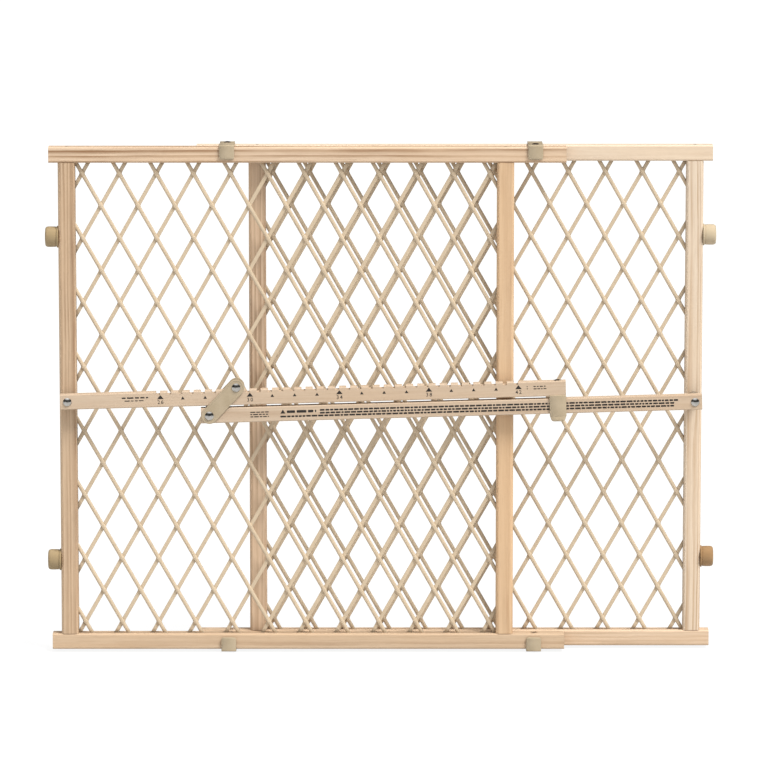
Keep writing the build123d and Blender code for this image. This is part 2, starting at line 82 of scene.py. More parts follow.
class Shader:
    """One procedural material, with short calls for the nodes that it needs."""

    def __init__(self, name, **values):
        self.material = bpy.data.materials.new(name)
        self.material.use_nodes = True
        self.tree = self.material.node_tree
        self.tree.nodes.clear()
        output = self.tree.nodes.new("ShaderNodeOutputMaterial")
        self.surface = self.tree.nodes.new("ShaderNodeBsdfPrincipled")
        self.join(self.surface.outputs[0], output.inputs["Surface"])
        for socket, value in values.items():
            self.surface.inputs[socket.replace("_", " ")].default_value = value

    def join(self, source, target):
        """Links two sockets, or sets a plain value."""
        if isinstance(source, bpy.types.NodeSocket):
            self.tree.links.new(source, target)
        else:
            target.default_value = source

    def math(self, operation, *values):
        """A math node's result."""
        node = self.tree.nodes.new("ShaderNodeMath")
        node.operation = operation
        for value, socket in zip(values, node.inputs):
            self.join(value, socket)
        return node.outputs[0]

    def vector(self, operation, *values):
        """A vector math node's result: a number for a length, else a vector."""
        node = self.tree.nodes.new("ShaderNodeVectorMath")
        node.operation = operation
        for value, socket in zip(values, node.inputs):
            self.join(value, socket)
        return node.outputs["Value" if operation == "LENGTH" else "Vector"]

    def place(self, move=(0, 0, 0), turn=(0, 0, 0)):
        """The point on the object, turned and then moved."""
        node = self.tree.nodes.new("ShaderNodeMapping")
        node.inputs["Location"].default_value = move
        node.inputs["Rotation"].default_value = turn
        coordinates = self.tree.nodes.new("ShaderNodeTexCoord")
        self.join(coordinates.outputs["Object"], node.inputs["Vector"])
        return node.outputs[0]

    def noise(self, point, scale, detail=2.0, rough=0.5):
        """Smooth noise: (number, colour)."""
        node = self.tree.nodes.new("ShaderNodeTexNoise")
        self.join(point, node.inputs["Vector"])
        node.inputs["Scale"].default_value = scale
        node.inputs["Detail"].default_value = detail
        node.inputs["Roughness"].default_value = rough
        return node.outputs[0], node.outputs[1]

    def ramp(self, number, *stops):
        """A number through a ramp of (place, number or colour) stops."""
        node = self.tree.nodes.new("ShaderNodeValToRGB")
        while len(node.color_ramp.elements) < len(stops):
            node.color_ramp.elements.new(0.5)
        for element, (place, value) in zip(node.color_ramp.elements, stops):
            element.position = place
            shade = (value,) * 3 if isinstance(value, (int, float)) else value
            element.color = (*shade, 1)
        self.join(number, node.inputs["Fac"])
        return node.outputs["Color"]

    def mix(self, share, first, second):
        """Two colours mixed by a share."""
        node = self.tree.nodes.new("ShaderNodeMix")
        node.data_type = "RGBA"
        sockets = (node.inputs[0], node.inputs[6], node.inputs[7])  # factor and the two colours
        for value, socket in zip((share, first, second), sockets):
            self.join((*value, 1) if isinstance(value, tuple) else value, socket)
        return node.outputs[2]

    def bump(self, height, depth):
        """Bump of a real depth in metres."""
        node = self.tree.nodes.new("ShaderNodeBump")
        node.inputs["Strength"].default_value = 1.0
        node.inputs["Distance"].default_value = depth
        self.join(height, node.inputs["Height"])
        self.join(node.outputs[0], self.surface.inputs["Normal"])

    def set(self, socket, value):
        """Sets or links one of the surface's sockets."""
        self.join(value, self.surface.inputs[socket])


# How each grain direction turns onto X. The bars' grain follows their tilt.
GRAIN_TURN = {"x": (0, 0, 0), "z": (0, math.pi / 2, 0), "bar": (0, TILT, 0)}


WANDER = 1.6 * MM  # a quarter of how far the growth rings sway across the grain
RIPPLE = 0.9 * MM  # how far they ripple on top of that
RING_NOISE = 2.6  # how uneven the rings' spacing is, in rings
FIBRE_SHARE = 0.28
FLECK_SHARE = 0.12
WOOD_RELIEF = 0.09 * MM
# one growth ring, from its early wood to its late wood and back
GROWTH = ((0.0, 0.05), (0.35, 0.12), (0.62, 0.6), (0.82, 1.0), (0.96, 0.6), (1.0, 0.05))


def scaled(colour, *factors):
    """A colour times one factor, or times one for each channel."""
    if len(factors) == 1:
        factors *= 3
    return tuple(c * k for c, k in zip(colour, factors))


def drift(s, point, stretch, reach):
    """A wandering shift across the grain, for a point in a stretched noise."""
    _, noise = s.noise(s.vector("MULTIPLY", point, stretch), 1.0, 2.0)
    return s.vector("MULTIPLY", s.vector("SUBTRACT", noise, (0.5, 0.5, 0.5)), (0, reach, reach))


def wood(node, grain, seed, pale, late, heart, ring, contrast):
    """Planed softwood: growth rings round a heart beside the piece, and fibres along the grain."""
    turn = GRAIN_TURN[grain]
    from_heart = Matrix.Rotation(turn[1], 3, "Y") @ centre(node) + Vector((0, *heart)) * MM
    s = Shader(f"wood_{node}", Specular_IOR_Level=0.32)
    point = s.place((seed * 1.37 - from_heart.x, -from_heart.y, -from_heart.z), turn)

    sway = drift(s, point, (3.2, 16, 16), 4 * WANDER)
    ripple = drift(s, point, (26, 150, 150), RIPPLE)
    bent = s.vector("ADD", s.vector("ADD", point, sway), ripple)
    radius = s.vector("LENGTH", s.vector("MULTIPLY", bent, (0, 1, 1)))
    uneven, _ = s.noise(s.vector("MULTIPLY", bent, (0.9, 95, 95)), 1.0, 2.0)
    rings = s.math("DIVIDE", radius, ring * MM)
    phase = s.math("ADD", rings, s.math("MULTIPLY", uneven, RING_NOISE))
    growth = s.ramp(s.math("FRACT", phase), *GROWTH)

    patch, _ = s.noise(s.vector("MULTIPLY", point, (7, 60, 60)), 1.0, 3.0)
    strength = s.math("MULTIPLY", s.ramp(patch, (0.34, 0.2), (0.64, 1.0)), contrast)
    fibre, _ = s.noise(s.vector("MULTIPLY", point, (22, 900, 900)), 1.0, 3.0, 0.6)
    fleck, _ = s.noise(s.vector("MULTIPLY", point, (70, 2600, 2600)), 1.0, 2.0, 0.5)
    flecked = s.math("MULTIPLY", s.ramp(fleck, (0.56, 0.0), (0.7, 1.0)), FLECK_SHARE)
    warmth, _ = s.noise(s.vector("MULTIPLY", point, (4, 35, 35)), 1.0, 2.0)

    base = s.mix(s.math("MULTIPLY", growth, strength), pale, late)
    fibrous = s.math("MULTIPLY", s.ramp(fibre, (0.35, 0.0), (0.7, 1.0)), FIBRE_SHARE)
    base = s.mix(fibrous, base, late)
    warmed = s.math("MULTIPLY", s.ramp(warmth, (0.4, 0.0), (0.66, 1.0)), 0.5)
    base = s.mix(warmed, base, scaled(pale, 0.97, 0.9, 0.82))
    base = s.mix(flecked, base, scaled(late, 0.42))
    s.set("Base Color", base)
    s.set("Roughness", s.ramp(fibre, (0.3, 0.46), (0.7, 0.6)))
    relief = s.math("SUBTRACT", s.math("MULTIPLY", fibre, 0.6), s.math("MULTIPLY", flecked, 1.6))
    s.bump(s.math("ADD", relief, s.math("MULTIPLY", growth, 0.35)), WOOD_RELIEF)
    return s.material


def plastic(name, colour, shade, roughness, scale, depth):
    """Moulded plastic or rubber: faint mottling, and a fine skin that breaks up its gloss."""
    s = Shader(name, Specular_IOR_Level=0.42)
    point = s.place()
    cloud, _ = s.noise(point, 38, 3.0)
    skin, _ = s.noise(point, scale, 3.0, 0.6)
    grain, _ = s.noise(point, scale * 7, 2.0)
    tone = s.math("ADD", s.math("MULTIPLY", cloud, 0.65), s.math("MULTIPLY", skin, 0.35))
    s.set("Base Color", s.ramp(tone, (0.34, shade), (0.6, colour)))
    s.set("Roughness", s.ramp(skin, (0.3, roughness - 0.06), (0.7, roughness + 0.08)))
    s.bump(s.math("ADD", s.math("MULTIPLY", skin, 0.6), s.math("MULTIPLY", grain, 0.4)), depth)
    return s.material


def enamel(name, colour, shade):
    """Stove enamel on pressed steel: orange peel, a few dull patches and specks."""
    s = Shader(name, Specular_IOR_Level=0.5, Coat_Weight=0.12, Coat_Roughness=0.25)
    point = s.place()
    peel, _ = s.noise(point, 900, 2.0)
    cloud, _ = s.noise(point, 70, 3.0)
    speck, _ = s.noise(point, 2400, 1.0)
    base = s.ramp(cloud, (0.35, shade), (0.62, colour))
    specked = s.math("MULTIPLY", s.ramp(speck, (0.7, 0.0), (0.78, 1.0)), 0.35)
    base = s.mix(specked, base, scaled(shade, 0.5))
    s.set("Base Color", base)
    s.set("Roughness", s.ramp(cloud, (0.3, 0.36), (0.7, 0.5)))
    s.bump(peel, 0.035 * MM)
    return s.material


def metal(name, colour, dull, low, high):
    """Metal with fine scuffs and a little tarnish, its roughness between low and high."""
    s = Shader(name, Metallic=1.0)
    point = s.place()
    scuff, _ = s.noise(s.vector("MULTIPLY", point, (1, 1, 4)), 700, 3.0, 0.65)
    cloud, _ = s.noise(point, 220, 2.0)
    s.set("Base Color", s.ramp(cloud, (0.35, dull), (0.6, colour)))
    s.set("Roughness", s.ramp(scuff, (0.35, low), (0.7, high)))
    s.bump(scuff, 0.012 * MM)
    return s.material


def ink(name, colour):
    """Stamped ink: slightly uneven where the wood's fibres took less of it."""
    s = Shader(name, Roughness=0.62, Specular_IOR_Level=0.25)
    point = s.place((0, 0, 0), GRAIN_TURN["bar"])
    worn, _ = s.noise(s.vector("MULTIPLY", point, (260, 900, 1800)), 1.0, 3.0, 0.6)
    pale = tuple(c * 2.6 + 0.03 for c in colour)
    s.set("Base Color", s.ramp(worn, (0.5, colour), (0.85, pale)))
    s.bump(worn, 0.01 * MM)
    return s.material


# ---------------------------------------------------------------- woods of the frame and bars

PINE = (0.64, 0.485, 0.345)
PINE_LATE = (0.27, 0.15, 0.075)
BROWN = (0.55, 0.41, 0.28)
BROWN_LATE = (0.19, 0.10, 0.05)
ROSY = (0.68, 0.565, 0.44)
ROSY_LATE = (0.42, 0.28, 0.17)
WARM = (0.62, 0.44, 0.275)
WARM_LATE = (0.36, 0.20, 0.10)
BAR_PALE = (0.53, 0.415, 0.305)
BAR_LATE = (0.36, 0.24, 0.15)

# node: (grain, seed, pale, late, heart, ring, contrast). The heart is (y, z) in mm from the piece's
# middle, after the turn, and ring is the rings' spacing in mm.
WOODS = {
    "front_top_rail": ("x", 1, PINE, PINE_LATE, (22, -70), 5.2, 1.15),
    "front_bottom_rail": ("x", 2, BROWN, PINE_LATE, (60, 38), 6.5, 0.5),
    "front_outer_stile": ("z", 3, BROWN, BROWN_LATE, (20, 44), 4.8, 1.0),
    "front_inner_stile": ("z", 4, WARM, WARM_LATE, (42, 26), 8.0, 0.6),
    "rear_top_rail": ("x", 5, ROSY, ROSY_LATE, (80, 20), 7.5, 0.45),
    "rear_bottom_rail": ("x", 6, PINE, ROSY_LATE, (34, 60), 5.4, 0.7),
    "rear_outer_stile": ("z", 7, ROSY, ROSY_LATE, (18, -48), 4.4, 1.15),
    "rear_inner_stile": ("z", 8, PINE, BROWN_LATE, (30, 40), 4.0, 0.8),
    "notched_bar": ("bar", 9, BAR_PALE, BAR_LATE, (70, 34), 8.0, 0.35),
    "locking_bar": ("bar", 10, BAR_PALE, BAR_LATE, (46, -52), 7.0, 0.45),
}


def finish_woods():
    """Gives each wooden node its own piece of timber."""
    for node, look in WOODS.items():
        wear(node, wood(node, *look))


def wear(node, material):
    """Puts one material on a CAD node."""
    mesh = nodes[node].data
    mesh.materials.clear()
    mesh.materials.append(material)


# ---------------------------------------------------------------- pieces


def piece(name, mesh, material, body, stands_for=(), smooth=True):
    """A finished piece in the scene, riding on its body."""
    made = bpy.data.objects.new(name, mesh)
    bpy.context.scene.collection.objects.link(made)
    mesh.materials.clear()
    mesh.materials.append(material)
    if smooth:
        mesh.polygons.foreach_set("use_smooth", [True] * len(mesh.polygons))
    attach(made, body)
    if stands_for:
        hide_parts(*stands_for)
    return made


def to_mesh(name, shape, place=None):
    """A bmesh as a mesh with outward faces, moved by place."""
    bmesh.ops.recalc_face_normals(shape, faces=shape.faces)
    if place is not None:
        shape.transform(place)
    mesh = bpy.data.meshes.new(name)
    shape.to_mesh(mesh)
    shape.free()
    return mesh


def loft(shape, rings, closed_ends=True):
    """Joins closed rings with equal numbers of points into a skin."""
    rows = [[shape.verts.new(p) for p in ring] for ring in rings]
    count = len(rows[0])
    for low, high in zip(rows, rows[1:]):
        for i in range(count):
            j = (i + 1) % count
            shape.faces.new((low[i], low[j], high[j], high[i]))
    if closed_ends:
        shape.faces.new(rows[0])
        shape.faces.new(reversed(rows[-1]))


# ---------------------------------------------------------------- lattices

DIAMOND = Vector((42.0 * MM, 73.8 * MM))
STRAND_HALF = 2.2 * MM
STRAND_HEIGHT = 2.0 * MM
JOINT_SWELL = 0.55 * MM  # how much wider a strand gets at each side of a crossing
JOINT_REACH = 2.4 * MM  # how far the swelling reaches along the strand
NUB_HEIGHT = 0.35 * MM  # of the nub on the middle of a crossing
NUB_REACH = 1.3 * MM
SECTION_POINTS = 7  # round a strand's outer side
SECTION_FULLNESS = 0.45  # 1 is an ellipse, and less is squarer
BACK_SHARE = 0.7  # a strand's back is narrower than the strand
WELD = 0.15 * MM  # each layer of strands passes the middle by this
IN_GROOVE = 2.6 * MM  # the strands end this far inside the CAD lattice's edges
RING_STEPS = (-8.0, -5.0, -3.2, -1.7, 0.0, 1.7, 3.2, 5.0, 8.0)  # cuts near a crossing, in mm


def clip_line(x0, slope, half_w, half_h):
    """The part of the line z = slope * (x - x0) inside a centred rectangle, as (low x, high x)."""
    reach = half_h / abs(slope)
    return max(-half_w, x0 - reach), min(half_w, x0 + reach)


def strand(shape, start, end, spots, way):
    """A half-round strand with swollen crossings at spots along it, bulging towards way along Y."""
    run = end - start
    along = run.normalized()
    across = Vector((-along.z, 0, along.x))
    out = Vector((0, way, 0))
    places = {0.0, run.length}
    for spot in spots:
        places |= {spot + step * MM for step in RING_STEPS if 0 < spot + step * MM < run.length}
    rings = []
    for t in sorted(places):
        near = sum(math.exp(-(((t - spot) / JOINT_REACH) ** 2)) for spot in spots)
        nub = sum(math.exp(-(((t - spot) / NUB_REACH) ** 2)) for spot in spots)
        half = STRAND_HALF + JOINT_SWELL * near
        height = STRAND_HEIGHT + NUB_HEIGHT * nub
        middle = start + along * t
        ring = []
        for i in range(SECTION_POINTS):
            a = math.pi * i / (SECTION_POINTS - 1)
            lift = height * math.sin(a) ** SECTION_FULLNESS
            ring.append(middle + across * (half * math.cos(a)) + out * lift)
        ring.append(middle - across * (half * BACK_SHARE) - out * WELD)
        ring.append(middle + across * (half * BACK_SHARE) - out * WELD)
        rings.append(ring)
    loft(shape, rings)


def lattice(node, body, material):
    """Two layers of crossing strands, welded where they cross."""
    low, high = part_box(node)
    mid = (low + high) / 2
    half_w = (high.x - low.x) / 2 - IN_GROOVE
    half_h = (high.z - low.z) / 2 - IN_GROOVE
    slope = DIAMOND.y / DIAMOND.x
    count = int((half_w + half_h / slope) // DIAMOND.x)
    shape = bmesh.new()
    for way in (-1, 1):
        for i in range(-count, count + 1):
            x0 = i * DIAMOND.x
            lean = way * slope  # the front layer falls to the right
            low_x, high_x = clip_line(x0, lean, half_w, half_h)
            if high_x - low_x < STRAND_HALF:
                continue  # too short to reach across a corner
            start, end = (Vector((x, 0, lean * (x - x0))) for x in (low_x, high_x))
            step = DIAMOND.x / 2
            first = math.ceil(low_x / step)
            crossings = range(first, int(high_x // step) + 1)
            stretch = math.hypot(1, slope)
            spots = [(k * step - low_x) * stretch for k in crossings]
            strand(shape, mid + start, mid + end, spots, way)
    mesh = to_mesh(node, shape)
    return piece(f"{node}_strands", mesh, material, body, [node])


# ---------------------------------------------------------------- bumpers

# outline of a bumper as (distance from the stile, radius), from its back to its recess, in mm
BUMPER_OUTLINE = [
    (0.0, 4.0),
    (0.0, 12.0),
    (0.25, 12.35),
    (1.5, 12.4),
    (1.9, 12.1),
    (2.1, 11.2),
    (2.5, 11.1),
    (2.9, 11.5),
    (4.0, 11.62),
    (8.0, 11.75),
    (11.6, 11.7),
    (13.2, 11.35),
    (14.3, 10.6),
    (14.85, 9.5),
    (15.0, 8.2),
    (15.0, 6.3),
    (14.7, 5.65),
    (14.0, 5.5),
    (10.2, 5.45),
    (10.0, 5.2),
    (10.0, 2.0),
]
TURN_STEPS = 72


def lathe(outline):
    """A turned shape about +X from (place, radius) points in mm, open at both ends."""
    shape = bmesh.new()
    turns = [2 * math.pi * i / TURN_STEPS for i in range(TURN_STEPS)]
    rings = []
    for place, radius in outline:
        ring = [Vector((place, radius * math.cos(a), radius * math.sin(a))) * MM for a in turns]
        rings.append(ring)
    loft(shape, rings, closed_ends=False)
    return shape


def bumper(node, body, material):
    """A rubber bumper with a rim, a soft crown and a recess for its screw."""
    low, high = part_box(node)
    mid = (low + high) / 2
    stile_face, turn = (low.x, 0) if mid.x > 0 else (high.x, math.pi)
    place = Matrix.Translation((stile_face, mid.y, mid.z)) @ Matrix.Rotation(turn, 4, "Z")
    mesh = to_mesh(node, lathe(BUMPER_OUTLINE), place)
    return piece(f"{node}_rubber", mesh, material, body, [node])


# ---------------------------------------------------------------- clips, catch and lever

CLIP_WALL = 2.0 * MM
BEND = 1.5 * MM  # outside radius of a clip's bends
CORNER = 2.4 * MM  # radius of a tab's corners
EDGE = 0.35 * MM  # rounding of cut edges
END_EDGE = 0.3 * MM  # rounding of a strip's two ends
BEND_STEPS = 5
STRIP_STEP = 0.5 * MM  # cuts along a strip are no further apart than this
LEAST_HALF_WIDTH = 0.6 * MM


def bent_path(corners, radius):
    """Points along a polyline in the YZ plane, with its corners rounded."""
    points = [corners[0]]
    for before, here, after in zip(corners, corners[1:], corners[2:]):
        into, out = (here - before).normalized(), (after - here).normalized()
        turn = into.angle(out)
        cut = radius * math.tan(turn / 2)
        start = here - into * cut
        inward = (out - into).normalized()
        hub = here + inward * (radius / math.cos(turn / 2))
        arm = start - hub
        sense = 1 if into.cross(out).x > 0 else -1
        for i in range(BEND_STEPS + 1):
            points.append(hub + Matrix.Rotation(sense * turn * i / BEND_STEPS, 3, "X") @ arm)
    points.append(corners[-1])
    return points


def refine(points, step):
    """The same line with points no further apart than step."""
    made = [points[0]]
    for a, b in zip(points, points[1:]):
        parts = max(1, math.ceil((b - a).length / step))
        made += [a.lerp(b, i / parts) for i in range(1, parts + 1)]
    return made


def strip(points, half_width, wall, corner=CORNER, taper=None):
    """Sheet metal bent along points in the YZ plane, with rounded free corners and eased edges.

    The points are its outer face. Its other face is wall away, on the side that wall's sign gives.
    taper gives how much narrower each side is at a distance from the start.
    """
    fine = refine(points, STRIP_STEP)
    lengths = [0.0]
    for a, b in zip(fine, fine[1:]):
        lengths.append(lengths[-1] + (b - a).length)
    total = lengths[-1]
    shape = bmesh.new()
    rings = []
    for k, (p, t) in enumerate(zip(fine, lengths)):
        before, after = fine[max(k - 1, 0)], fine[min(k + 1, len(fine) - 1)]
        along = (after - before).normalized()
        inward = Vector((0, along.z, -along.y)) * (1 if wall > 0 else -1)
        end = min(t, total - t)
        half = half_width if taper is None else half_width - taper(t)
        if end < corner:
            half -= corner - math.sqrt(max(corner**2 - (corner - end) ** 2, 0.0))
        half = max(half, LEAST_HALF_WIDTH)
        thick = abs(wall)
        ease = EDGE if end > EDGE else EDGE + 0.2 * MM
        drop = 0.0 if end > END_EDGE else END_EDGE
        outline = [
            (-half, ease),
            (-half + ease, drop),
            (half - ease, drop),
            (half, ease),
            (half, thick - ease),
            (half - ease, thick - drop),
            (-half + ease, thick - drop),
            (-half, thick - ease),
        ]
        rings.append([p + Vector((x, 0, 0)) + inward * d for x, d in outline])
    loft(shape, rings)
    return shape


def clip(node, body, material):
    """Guide clip over both rails, bent from one strip."""
    low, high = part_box(node)
    upper = low.z > MID_Z
    edge, foot = (high.z, low.z) if upper else (low.z, high.z)
    line = [(low.y, foot), (low.y, edge), (high.y, edge), (high.y, foot)]
    corners = [Vector((0, y, z)) for y, z in line]
    wall = CLIP_WALL if upper else -CLIP_WALL
    shape = strip(bent_path(corners, BEND), (high.x - low.x) / 2, wall)
    place = Matrix.Translation(((low.x + high.x) / 2, 0, 0))
    return piece(f"{node}_steel", to_mesh(node, shape, place), material, body, [node])


# the catch in the notched bar's frame, in mm
CATCH_WALL = 1.2
CATCH_OUTSIDE = 8.0  # from the bars' middle plane to its outer faces
CATCH_TOP = CATCH_WALL - BAR_HALF_HEIGHT / MM
CATCH_SKIRT = -(BAR_HALF_HEIGHT + BAR_PITCH) / MM - 3.0  # 3 below the locking bar
CATCH_LIP_HEIGHT = 5.0
CATCH_FOOT = CATCH_SKIRT - CATCH_LIP_HEIGHT
CATCH_FLARE = 2.0
CATCH_WIDTH = 19.0
BAR_REACH = 566.0  # from the notched bar's pivot to its free end
CATCH_MIDDLE = BAR_REACH - CATCH_WIDTH / 2
CATCH_BEND = 0.9
CATCH_CORNER = 2.6
LIP_TAPER = 2.0  # the lip's end is narrower than the channel by this at each side
LIP_TAPER_LENGTH = 6.0


def catch(body, material):
    """The channel under the notched bar's end, with a flared lip in front."""
    corners = [
        Vector((0, -CATCH_OUTSIDE - CATCH_FLARE, CATCH_FOOT)) * MM,
        Vector((0, -CATCH_OUTSIDE, CATCH_SKIRT)) * MM,
        Vector((0, -CATCH_OUTSIDE, CATCH_TOP)) * MM,
        Vector((0, CATCH_OUTSIDE, CATCH_TOP)) * MM,
        Vector((0, CATCH_OUTSIDE, CATCH_SKIRT)) * MM,
    ]

    def taper(t):
        """The lip is narrower than the channel."""
        return LIP_TAPER * MM * max(0.0, 1 - t / (LIP_TAPER_LENGTH * MM)) ** 0.7

    path = bent_path(corners, CATCH_BEND * MM)
    shape = strip(path, CATCH_WIDTH * MM / 2, CATCH_WALL * MM, CATCH_CORNER * MM, taper)
    place = NOTCHED_BAR_FRAME @ Matrix.Translation((CATCH_MIDDLE * MM, 0, 0))
    mesh = to_mesh("catch", shape, place)
    return piece("catch_clip_steel", mesh, material, body, ["catch_clip"])


LEVER_HALF_WIDTH = 9.2 * MM
LEVER_CLEARANCE = 0.5 * MM  # between a plate and the bars
# outline steps of a lever plate, from its inner face out: (inset, depth from the inner face) in mm
PLATE_STEPS = [
    (0.3, 0.0),
    (0.0, 0.3),
    (0.0, 1.15),
    (0.12, 1.38),
    (0.35, 1.5),
    (1.1, 1.5),
    (1.6, 1.42),
    (1.95, 1.2),
    (2.5, 1.15),
]
ROUND_STEPS = 24  # of a plate's half-round end


def capsule(radius, span):
    """Outline of a plate with round ends in the XZ plane: centres at the origin and at +X span."""
    ring = []
    for middle, start in ((span, -math.pi / 2), (0.0, math.pi / 2)):
        for i in range(ROUND_STEPS + 1):
            a = start + math.pi * i / ROUND_STEPS
            ring.append(Vector((middle + radius * math.cos(a), 0, radius * math.sin(a))))
    return ring


def lever_plate(node, body, material, way):
    """A pressed plate with a raised rim, on the way side (-1 front, 1 back) of the bars."""
    first, last = centre("lever_pivot_rivet"), centre("lever_pin")
    run = last - first
    angle = math.atan2(run.z, run.x)
    shape = bmesh.new()
    rings = []
    for inset, depth in PLATE_STEPS:
        ring = capsule(LEVER_HALF_WIDTH - inset * MM, math.hypot(run.x, run.z))
        y = way * (BAR_HALF_THICKNESS + LEVER_CLEARANCE + depth * MM)
        rings.append([p + Vector((0, y, 0)) for p in ring])
    loft(shape, rings)
    place = Matrix.Translation((first.x, BAR_Y, first.z)) @ Matrix.Rotation(-angle, 4, "Y")
    mesh = to_mesh(node, shape, place)
    made = piece(f"{node}_steel", mesh, material, body, [node])
    made.modifiers.new("crisp flats", "WEIGHTED_NORMAL")
    return made


# ---------------------------------------------------------------- print on the bars

PRINT_LIFT = 0.03 * MM  # the ink stands this far out of the wood, and reaches as far in
PRINT_FACE = -BAR_HALF_THICKNESS
DIGIT_SHARE = 0.7  # a digit's height as a share of its font size
DIGIT_WEIGHT = 0.07 * MM  # added to each side of a digit's strokes
DIGIT_SPACING = 1.35
SHORTEST_DASH = 0.35  # as a share of the longest in its row
LEAST_RUN = 0.8 * MM  # no dash starts nearer to the end of its row
FIRST_MARK = 105.8 * MM  # the first width mark from the pivot
INCH = 25.4 * MM
WIDTHS = range(26, 43, 4)  # numbered widths in inches
MARKS_BETWEEN = 4


class Print:
    """Flat ink shapes on the front face of one bar, drawn in the bar's frame."""

    def __init__(self):
        self.shape = bmesh.new()

    def outline(self, points):
        """A thin closed shape from (x, z) points."""
        face_y, back_y = PRINT_FACE - PRINT_LIFT, PRINT_FACE + PRINT_LIFT
        front = [self.shape.verts.new((x, face_y, z)) for x, z in points]
        back = [self.shape.verts.new((x, back_y, z)) for x, z in points]
        self.shape.faces.new(front)
        self.shape.faces.new(reversed(back))
        for i in range(len(points)):
            j = (i + 1) % len(points)
            self.shape.faces.new((front[i], front[j], back[j], back[i]))

    def triangle(self, x, base, width, height):
        """A solid triangle that points up, or down where its height is negative."""
        self.outline([(x - width / 2, base), (x + width / 2, base), (x, base + height)])

    def dash(self, x0, x1, z, height):
        """A short bar of ink with clipped corners."""
        cut = height * 0.25
        h = height / 2
        self.outline([
            (x0, z - h + cut), (x0 + cut, z - h), (x1 - cut, z - h), (x1, z - h + cut),
            (x1, z + h - cut), (x1 - cut, z + h), (x0 + cut, z + h), (x0, z + h - cut),
        ])

    def words(self, x0, x1, z, height, longest, gap):
        """A row of dashes of uneven length."""
        x = x0
        while x < x1 - LEAST_RUN:
            length = random.uniform(SHORTEST_DASH, 1.0) * longest
            self.dash(x, min(x + length, x1), z, height)
            x += length + gap

    def numeral(self, text, x, base, height):
        """A number centred on x."""
        curve = bpy.data.curves.new("numeral", "FONT")
        curve.body = text
        curve.size = height / DIGIT_SHARE
        curve.align_x = "CENTER"
        curve.extrude = PRINT_LIFT
        curve.offset = DIGIT_WEIGHT
        curve.space_character = DIGIT_SPACING
        curve.resolution_u = 3
        made = bpy.data.objects.new("numeral", curve)
        mesh = bpy.data.meshes.new_from_object(made)
        turn = Matrix.Translation((x, PRINT_FACE, base)) @ Matrix.Rotation(math.pi / 2, 4, "X")
        mesh.transform(turn)
        self.shape.from_mesh(mesh)
        bpy.data.meshes.remove(mesh)
        bpy.data.objects.remove(made)
        bpy.data.curves.remove(curve)

    def finish(self, name, body, place, material):
        """The ink as one piece on its bar."""
        mesh = to_mesh(name, self.shape, place)
        return piece(name, mesh, material, body, smooth=False)


def scale_print(material):
    """Width marks every inch, a number at every fourth, and dashes in place of the small print."""
    ink_on = Print()
    total = (len(WIDTHS) - 1) * MARKS_BETWEEN
    for k in range(total + 1):
        x = FIRST_MARK + k * INCH
        if k % MARKS_BETWEEN:
            ink_on.triangle(x, -0.4 * MM, 4.2 * MM, 3.4 * MM)
        else:
            ink_on.triangle(x, 0.6 * MM, 7.4 * MM, 4.6 * MM)
            ink_on.numeral(str(WIDTHS[k // MARKS_BETWEEN]), x, -4.9 * MM, 4.2 * MM)
    last = FIRST_MARK + total * INCH
    for base, height in ((2.6 * MM, 1.5 * MM), (1.2 * MM, -1.5 * MM)):  # an arrow up and one down
        ink_on.triangle(last + 10 * MM, base, 1.6 * MM, height)
    for z in (3.2 * MM, 0.4 * MM):
        ink_on.words(last + 17 * MM, last + 32 * MM, z, 1.1 * MM, 5.0 * MM, 1.0 * MM)
    ink_on.words(62 * MM, 92 * MM, 2.8 * MM, 1.7 * MM, 12 * MM, 1.4 * MM)
    ink_on.words(65 * MM, 88 * MM, -0.6 * MM, 1.1 * MM, 7 * MM, 1.2 * MM)
    return ink_on.finish("notched_bar_print", "notched_bar", NOTCHED_BAR_FRAME, material)


def small_print(material):
    """Rows of dashes along the locking bar, where the real bar has its small print."""
    ink_on = Print()
    left, right = -508 * MM, -18 * MM  # ends of the print, from the pivot
    for z in (2.6, 0.0, -2.6):
        ink_on.words(left + 3 * MM, left + 24 * MM, z * MM, 1.2 * MM, 6 * MM, 1.0 * MM)
    block = left + 40 * MM
    ink_on.triangle(block, 0.2 * MM, 5.6 * MM, 4.8 * MM)
    ink_on.words(block + 4.5 * MM, block + 38 * MM, 2.2 * MM, 3.0 * MM, 16 * MM, 1.6 * MM)
    for row, z in enumerate((3.2, 0.0, -3.2)):
        start = block + (42 * MM if row < 2 else -3 * MM)
        ink_on.words(start, right - random.uniform(0, 6) * MM, z * MM, 2.0 * MM, 7 * MM, 0.8 * MM)
    return ink_on.finish("locking_bar_print", "locking_bar", LOCKING_BAR_FRAME, material)


# ---------------------------------------------------------------- dressing the gate

NETTING = (0.54, 0.43, 0.30)
NETTING_SHADE = (0.49, 0.385, 0.265)
# painted shade: the front panel's bumpers, on the left, are the same beige rubber as the rear upper
# bumper, darkened for the side that faces away from the key light; the second colour is its
# mottling
PAINTED_SHADE_RUBBER = (0.31, 0.225, 0.12)
PAINTED_SHADE_RUBBER_MOTTLE = (0.295, 0.215, 0.12)
PALE_RUBBER = (0.46, 0.37, 0.25)
PALE_RUBBER_SHADE = (0.47, 0.375, 0.245)
TAN_RUBBER = (0.31, 0.185, 0.085)
TAN_RUBBER_SHADE = (0.265, 0.155, 0.07)
OLIVE = (0.40, 0.32, 0.215)
OLIVE_SHADE = (0.36, 0.285, 0.185)
NICKEL = (0.52, 0.51, 0.49)
NICKEL_DULL = (0.42, 0.41, 0.39)
ZINC = (0.60, 0.59, 0.56)
ZINC_DULL = (0.46, 0.45, 0.43)
BROWNED = (0.16, 0.115, 0.085)
BROWNED_DULL = (0.10, 0.07, 0.05)
PRINT_BLACK = (0.022, 0.018, 0.016)


